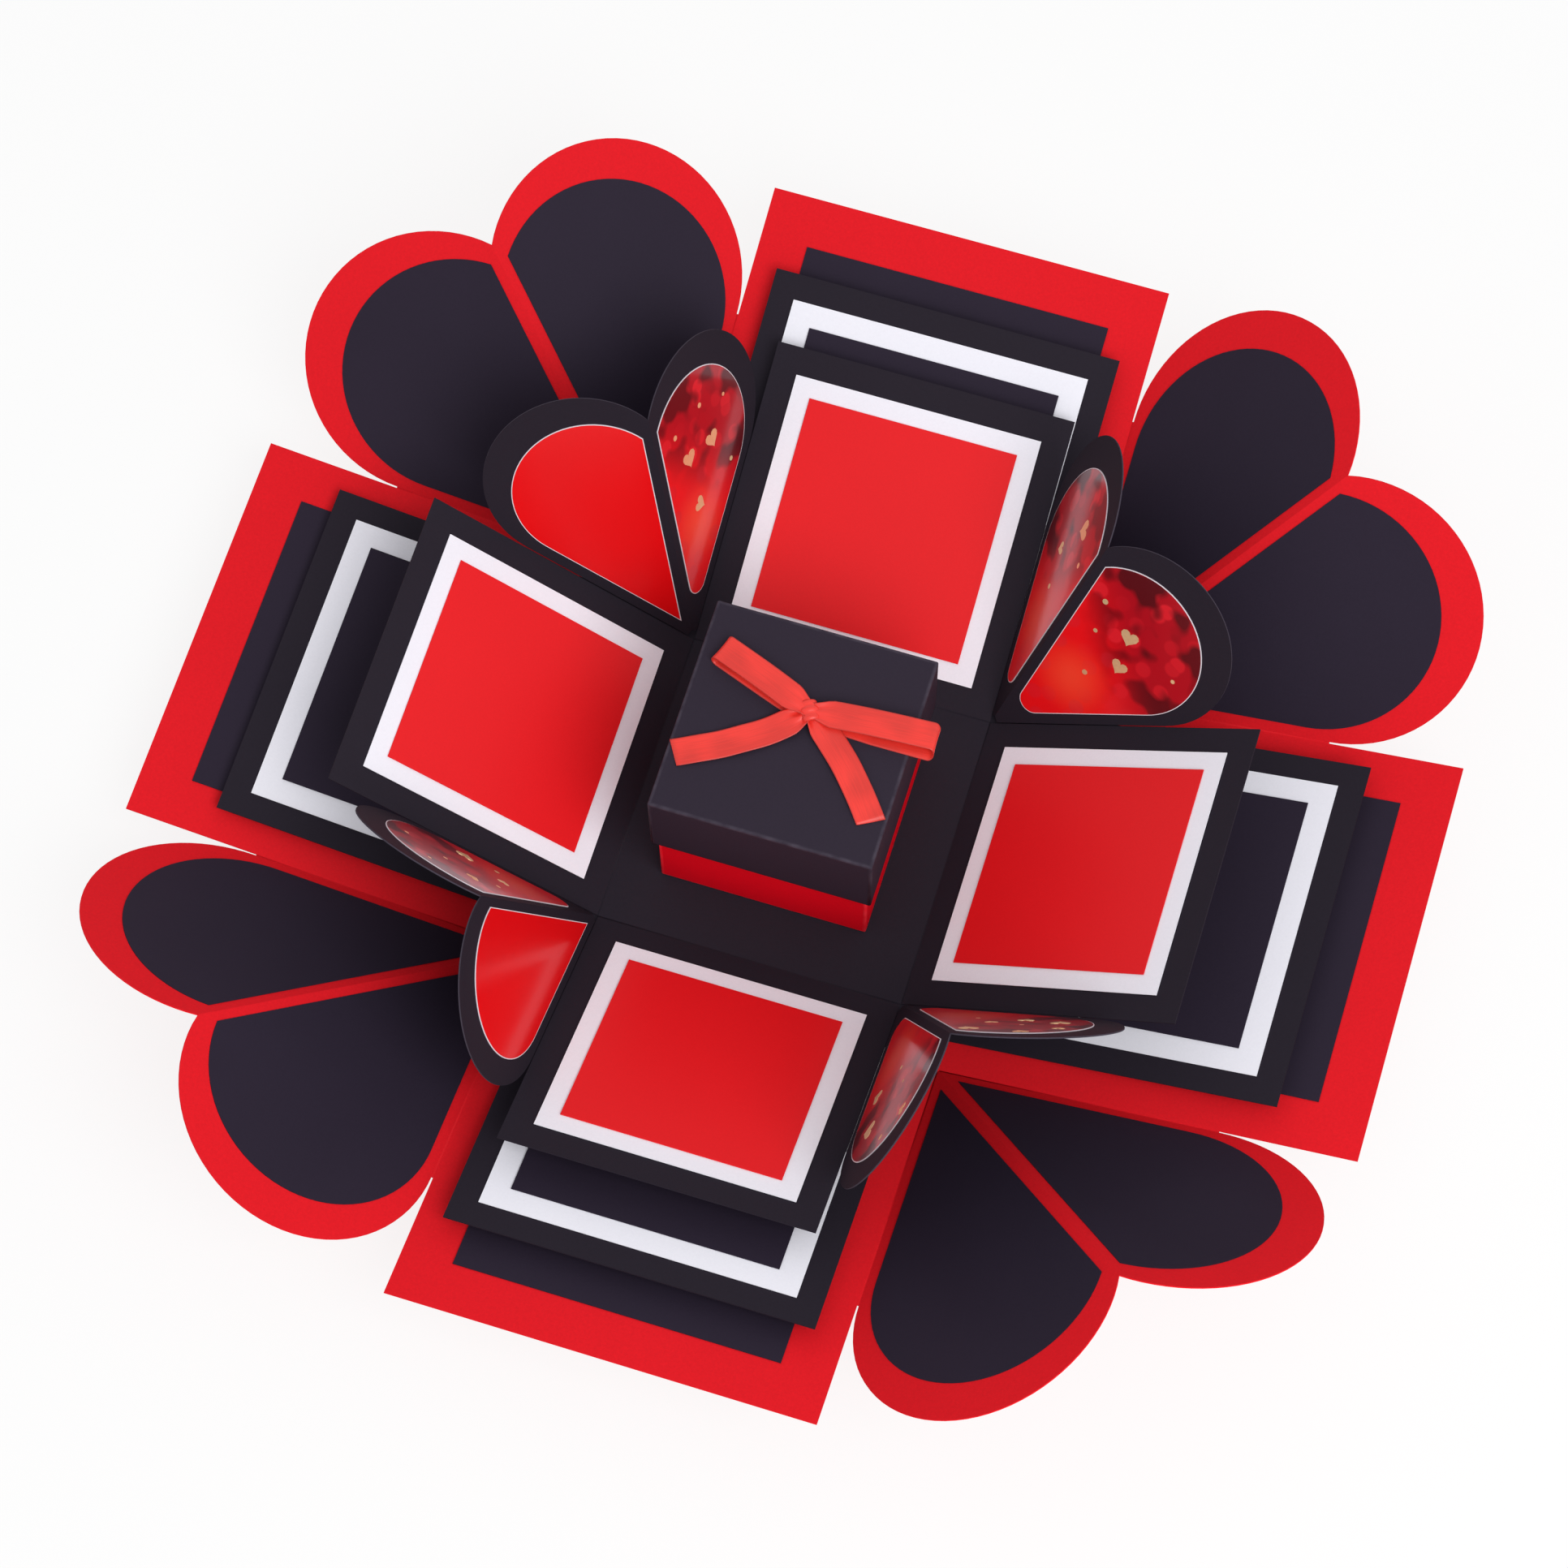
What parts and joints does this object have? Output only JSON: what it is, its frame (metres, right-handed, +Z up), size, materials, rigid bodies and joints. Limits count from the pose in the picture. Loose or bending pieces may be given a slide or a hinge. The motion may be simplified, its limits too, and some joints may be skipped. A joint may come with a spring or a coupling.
{
  "type": "explosion box",
  "caption": "Open explosion gift box: nested card layers with fold-down walls, photo mats and heart corners, around a small lidded gift box with a ribbon bow",
  "frame": {"origin": "centre of the outer base's underside", "axes": "+Z up, +Y to the north wall, +X to the east wall"},
  "size_m": [0.444, 0.4333, 0.0988],
  "materials": {
    "outer_base": "matte card",
    "middle_base": "matte card",
    "inner_base": "matte card",
    "gift_box_body": "matte card",
    "outer_wall_north": "matte card",
    "outer_mat_north": "matte paper",
    "middle_wall_north": "matte card",
    "middle_mat_north": "matte paper",
    "middle_panel_north": "matte paper",
    "inner_wall_north": "matte card",
    "inner_mat_north": "matte paper",
    "inner_panel_north": "matte paper",
    "outer_wall_east": "matte card",
    "outer_mat_east": "matte paper",
    "middle_wall_east": "matte card",
    "middle_mat_east": "matte paper",
    "middle_panel_east": "matte paper",
    "inner_wall_east": "matte card",
    "inner_mat_east": "matte paper",
    "inner_panel_east": "matte paper",
    "outer_wall_south": "matte card",
    "outer_mat_south": "matte paper",
    "middle_wall_south": "matte card",
    "middle_mat_south": "matte paper",
    "middle_panel_south": "matte paper",
    "inner_wall_south": "matte card",
    "inner_mat_south": "matte paper",
    "inner_panel_south": "matte paper",
    "outer_wall_west": "matte card",
    "outer_mat_west": "matte paper",
    "middle_wall_west": "matte card",
    "middle_mat_west": "matte paper",
    "middle_panel_west": "matte paper",
    "inner_wall_west": "matte card",
    "inner_mat_west": "matte paper",
    "inner_panel_west": "matte paper",
    "outer_heart_northeast_north": "matte card",
    "outer_heart_northwest_north": "matte card",
    "outer_heart_southeast_east": "matte card",
    "outer_heart_northeast_east": "matte card",
    "outer_heart_southwest_south": "matte card",
    "outer_heart_southeast_south": "matte card",
    "outer_heart_northwest_west": "matte card",
    "outer_heart_southwest_west": "matte card",
    "inner_heart_northeast_north": "matte card",
    "inner_heart_northwest_north": "matte card",
    "inner_heart_southeast_east": "matte card",
    "inner_heart_northeast_east": "matte card",
    "inner_heart_southwest_south": "matte card",
    "inner_heart_southeast_south": "matte card",
    "inner_heart_northwest_west": "matte card",
    "inner_heart_southwest_west": "matte card",
    "gift_box_lid": "matte card",
    "gift_bow": "satin ribbon"
  },
  "bodies": {
    "base": {"outer_base": "outer_base", "middle_base": "middle_base", "inner_base": "inner_base", "gift_box_body": "gift_box_body"},
    "outer_north": {"outer_wall_north": "outer_wall_north", "outer_mat_north": "outer_mat_north"},
    "middle_north": {"middle_wall_north": "middle_wall_north", "middle_mat_north": "middle_mat_north", "middle_panel_north": "middle_panel_north"},
    "inner_north": {"inner_wall_north": "inner_wall_north", "inner_mat_north": "inner_mat_north", "inner_panel_north": "inner_panel_north"},
    "outer_east": {"outer_wall_east": "outer_wall_east", "outer_mat_east": "outer_mat_east"},
    "middle_east": {"middle_wall_east": "middle_wall_east", "middle_mat_east": "middle_mat_east", "middle_panel_east": "middle_panel_east"},
    "inner_east": {"inner_wall_east": "inner_wall_east", "inner_mat_east": "inner_mat_east", "inner_panel_east": "inner_panel_east"},
    "outer_south": {"outer_wall_south": "outer_wall_south", "outer_mat_south": "outer_mat_south"},
    "middle_south": {"middle_wall_south": "middle_wall_south", "middle_mat_south": "middle_mat_south", "middle_panel_south": "middle_panel_south"},
    "inner_south": {"inner_wall_south": "inner_wall_south", "inner_mat_south": "inner_mat_south", "inner_panel_south": "inner_panel_south"},
    "outer_west": {"outer_wall_west": "outer_wall_west", "outer_mat_west": "outer_mat_west"},
    "middle_west": {"middle_wall_west": "middle_wall_west", "middle_mat_west": "middle_mat_west", "middle_panel_west": "middle_panel_west"},
    "inner_west": {"inner_wall_west": "inner_wall_west", "inner_mat_west": "inner_mat_west", "inner_panel_west": "inner_panel_west"},
    "outer_heart_northeast_north": {"outer_heart_northeast_north": "outer_heart_northeast_north"},
    "outer_heart_northwest_north": {"outer_heart_northwest_north": "outer_heart_northwest_north"},
    "outer_heart_southeast_east": {"outer_heart_southeast_east": "outer_heart_southeast_east"},
    "outer_heart_northeast_east": {"outer_heart_northeast_east": "outer_heart_northeast_east"},
    "outer_heart_southwest_south": {"outer_heart_southwest_south": "outer_heart_southwest_south"},
    "outer_heart_southeast_south": {"outer_heart_southeast_south": "outer_heart_southeast_south"},
    "outer_heart_northwest_west": {"outer_heart_northwest_west": "outer_heart_northwest_west"},
    "outer_heart_southwest_west": {"outer_heart_southwest_west": "outer_heart_southwest_west"},
    "inner_heart_northeast_north": {"inner_heart_northeast_north": "inner_heart_northeast_north"},
    "inner_heart_northwest_north": {"inner_heart_northwest_north": "inner_heart_northwest_north"},
    "inner_heart_southeast_east": {"inner_heart_southeast_east": "inner_heart_southeast_east"},
    "inner_heart_northeast_east": {"inner_heart_northeast_east": "inner_heart_northeast_east"},
    "inner_heart_southwest_south": {"inner_heart_southwest_south": "inner_heart_southwest_south"},
    "inner_heart_southeast_south": {"inner_heart_southeast_south": "inner_heart_southeast_south"},
    "inner_heart_northwest_west": {"inner_heart_northwest_west": "inner_heart_northwest_west"},
    "inner_heart_southwest_west": {"inner_heart_southwest_west": "inner_heart_southwest_west"},
    "gift_lid": {"gift_box_lid": "gift_box_lid", "gift_bow": "gift_bow"}
  },
  "joints": [
    {"name": "outer_fold_north", "type": "hinge", "parent": "base", "child": "outer_north", "pos_m": [0, 0.075, 0.00025], "axis": [1, 0, 0], "range_deg": [-20, 70]},
    {"name": "middle_fold_north", "type": "hinge", "parent": "base", "child": "middle_north", "pos_m": [0, 0.065, 0.00105], "axis": [1, 0, 0], "range_deg": [-19.72, 69.01]},
    {"name": "inner_fold_north", "type": "hinge", "parent": "base", "child": "inner_north", "pos_m": [0, 0.056, 0.00185], "axis": [1, 0, 0], "range_deg": [-19.3, 67.51]},
    {"name": "outer_fold_east", "type": "hinge", "parent": "base", "child": "outer_east", "pos_m": [0.075, 0, 0.00025], "axis": [0, -1, 0], "range_deg": [-13, 77]},
    {"name": "middle_fold_east", "type": "hinge", "parent": "base", "child": "middle_east", "pos_m": [0.065, 0, 0.00105], "axis": [0, -1, 0], "range_deg": [-12.59, 74.51]},
    {"name": "inner_fold_east", "type": "hinge", "parent": "base", "child": "inner_east", "pos_m": [0.056, 0, 0.00185], "axis": [0, -1, 0], "range_deg": [-9.63, 57.01]},
    {"name": "outer_fold_south", "type": "hinge", "parent": "base", "child": "outer_south", "pos_m": [0, -0.075, 0.00025], "axis": [-1, 0, 0], "range_deg": [-18.5, 71.5]},
    {"name": "middle_fold_south", "type": "hinge", "parent": "base", "child": "middle_south", "pos_m": [0, -0.065, 0.00105], "axis": [-1, 0, 0], "range_deg": [-17.99, 69.51]},
    {"name": "inner_fold_south", "type": "hinge", "parent": "base", "child": "inner_south", "pos_m": [0, -0.056, 0.00185], "axis": [-1, 0, 0], "range_deg": [-16.57, 64.01]},
    {"name": "outer_fold_west", "type": "hinge", "parent": "base", "child": "outer_west", "pos_m": [-0.075, 0, 0.00025], "axis": [0, 1, 0], "range_deg": [-10, 80]},
    {"name": "middle_fold_west", "type": "hinge", "parent": "base", "child": "middle_west", "pos_m": [-0.065, 0, 0.00105], "axis": [0, 1, 0], "range_deg": [-9.88, 79.01]},
    {"name": "inner_fold_west", "type": "hinge", "parent": "base", "child": "inner_west", "pos_m": [-0.056, 0, 0.00185], "axis": [0, 1, 0], "range_deg": [-7.13, 57.01]},
    {"name": "outer_heart_fold_northeast_north", "type": "hinge", "parent": "outer_north", "child": "outer_heart_northeast_north", "pos_m": [0.07445, 0.07498, 0.0003], "axis": [0, 0.9397, 0.342], "range_deg": [0, 79.45]},
    {"name": "outer_heart_fold_northwest_north", "type": "hinge", "parent": "outer_north", "child": "outer_heart_northwest_north", "pos_m": [-0.07442, 0.07497, 0.00033], "axis": [0, -0.9397, -0.342], "range_deg": [0, 73.97]},
    {"name": "outer_heart_fold_southeast_east", "type": "hinge", "parent": "outer_east", "child": "outer_heart_southeast_east", "pos_m": [0.07499, -0.07448, 0.00027], "axis": [0.9744, 0, 0.225], "range_deg": [0, 84.47]},
    {"name": "outer_heart_fold_northeast_east", "type": "hinge", "parent": "outer_east", "child": "outer_heart_northeast_east", "pos_m": [0.075, 0.07449, 0.00026], "axis": [-0.9744, 0, -0.225], "range_deg": [0, 86.74]},
    {"name": "outer_heart_fold_southwest_south", "type": "hinge", "parent": "outer_south", "child": "outer_heart_southwest_south", "pos_m": [-0.07442, -0.07497, 0.00033], "axis": [0, -0.9483, 0.3173], "range_deg": [0, 73.35]},
    {"name": "outer_heart_fold_southeast_south", "type": "hinge", "parent": "outer_south", "child": "outer_heart_southeast_south", "pos_m": [0.07445, -0.07498, 0.0003], "axis": [0, 0.9483, -0.3173], "range_deg": [0, 78.76]},
    {"name": "outer_heart_fold_northwest_west", "type": "hinge", "parent": "outer_west", "child": "outer_heart_northwest_west", "pos_m": [-0.075, 0.07448, 0.00028], "axis": [-0.9848, 0, 0.1736], "range_deg": [0, 84.28]},
    {"name": "outer_heart_fold_southwest_west", "type": "hinge", "parent": "outer_west", "child": "outer_heart_southwest_west", "pos_m": [-0.07499, -0.07447, 0.00029], "axis": [0.9848, 0, -0.1736], "range_deg": [0, 82.09]},
    {"name": "inner_heart_fold_northeast_north", "type": "hinge", "parent": "inner_north", "child": "inner_heart_northeast_north", "pos_m": [0.05465, 0.05608, 0.00166], "axis": [0, -0.9239, -0.3827], "range_deg": [-18.51, 109.58]},
    {"name": "inner_heart_fold_northwest_north", "type": "hinge", "parent": "inner_north", "child": "inner_heart_northwest_north", "pos_m": [-0.05562, 0.05581, 0.00231], "axis": [0, 0.9239, 0.3827], "range_deg": [-13.14, 105.08]},
    {"name": "inner_heart_fold_southeast_east", "type": "hinge", "parent": "inner_east", "child": "inner_heart_southeast_east", "pos_m": [0.05607, -0.05469, 0.00174], "axis": [-0.8387, 0, -0.5446], "range_deg": [-29.99, 115.88]},
    {"name": "inner_heart_fold_northeast_east", "type": "hinge", "parent": "inner_east", "child": "inner_heart_northeast_east", "pos_m": [0.05573, 0.05569, 0.00227], "axis": [0.8387, 0, 0.5446], "range_deg": [-33.4, 116.89]},
    {"name": "inner_heart_fold_southwest_south", "type": "hinge", "parent": "inner_south", "child": "inner_heart_southwest_south", "pos_m": [-0.05464, -0.0561, 0.00164], "axis": [0, 0.8988, -0.4384], "range_deg": [-13.49, 107.86]},
    {"name": "inner_heart_fold_southeast_south", "type": "hinge", "parent": "inner_south", "child": "inner_heart_southeast_south", "pos_m": [0.0556, -0.05578, 0.0023], "axis": [0, -0.8988, 0.4384], "range_deg": [-17.46, 103.36]},
    {"name": "inner_heart_fold_northwest_west", "type": "hinge", "parent": "inner_west", "child": "inner_heart_northwest_west", "pos_m": [-0.05603, 0.05472, 0.0018], "axis": [0.8387, 0, -0.5446], "range_deg": [-34.69, 121.39]},
    {"name": "inner_heart_fold_southwest_west", "type": "hinge", "parent": "inner_west", "child": "inner_heart_southwest_west", "pos_m": [-0.05573, -0.05566, 0.00227], "axis": [-0.8387, 0, 0.5446], "range_deg": [-28.83, 111.38]},
    {"name": "gift_lid_lift", "type": "slide", "parent": "base", "child": "gift_lid", "axis": [0, 0, 1], "range_m": [0, 0.08]}
  ],
  "couplings": [
    {"joint": "middle_fold_north", "follows": "outer_fold_north", "ratio": 0.98571},
    {"joint": "inner_fold_north", "follows": "outer_fold_north", "ratio": 0.96429},
    {"joint": "middle_fold_east", "follows": "outer_fold_east", "ratio": 0.96753},
    {"joint": "inner_fold_east", "follows": "outer_fold_east", "ratio": 0.74026},
    {"joint": "middle_fold_south", "follows": "outer_fold_south", "ratio": 0.97203},
    {"joint": "inner_fold_south", "follows": "outer_fold_south", "ratio": 0.8951},
    {"joint": "middle_fold_west", "follows": "outer_fold_west", "ratio": 0.9875},
    {"joint": "inner_fold_west", "follows": "outer_fold_west", "ratio": 0.7125},
    {"joint": "inner_heart_fold_northeast_north", "follows": "outer_fold_east", "ratio": 1.423},
    {"joint": "inner_heart_fold_northwest_north", "follows": "outer_fold_west", "ratio": 1.3134},
    {"joint": "inner_heart_fold_southeast_east", "follows": "outer_fold_south", "ratio": 1.6206},
    {"joint": "inner_heart_fold_northeast_east", "follows": "outer_fold_north", "ratio": 1.6697},
    {"joint": "inner_heart_fold_southwest_south", "follows": "outer_fold_west", "ratio": 1.3481},
    {"joint": "inner_heart_fold_southeast_south", "follows": "outer_fold_east", "ratio": 1.3422},
    {"joint": "inner_heart_fold_northwest_west", "follows": "outer_fold_north", "ratio": 1.7339},
    {"joint": "inner_heart_fold_southwest_west", "follows": "outer_fold_south", "ratio": 1.5577}
  ]
}
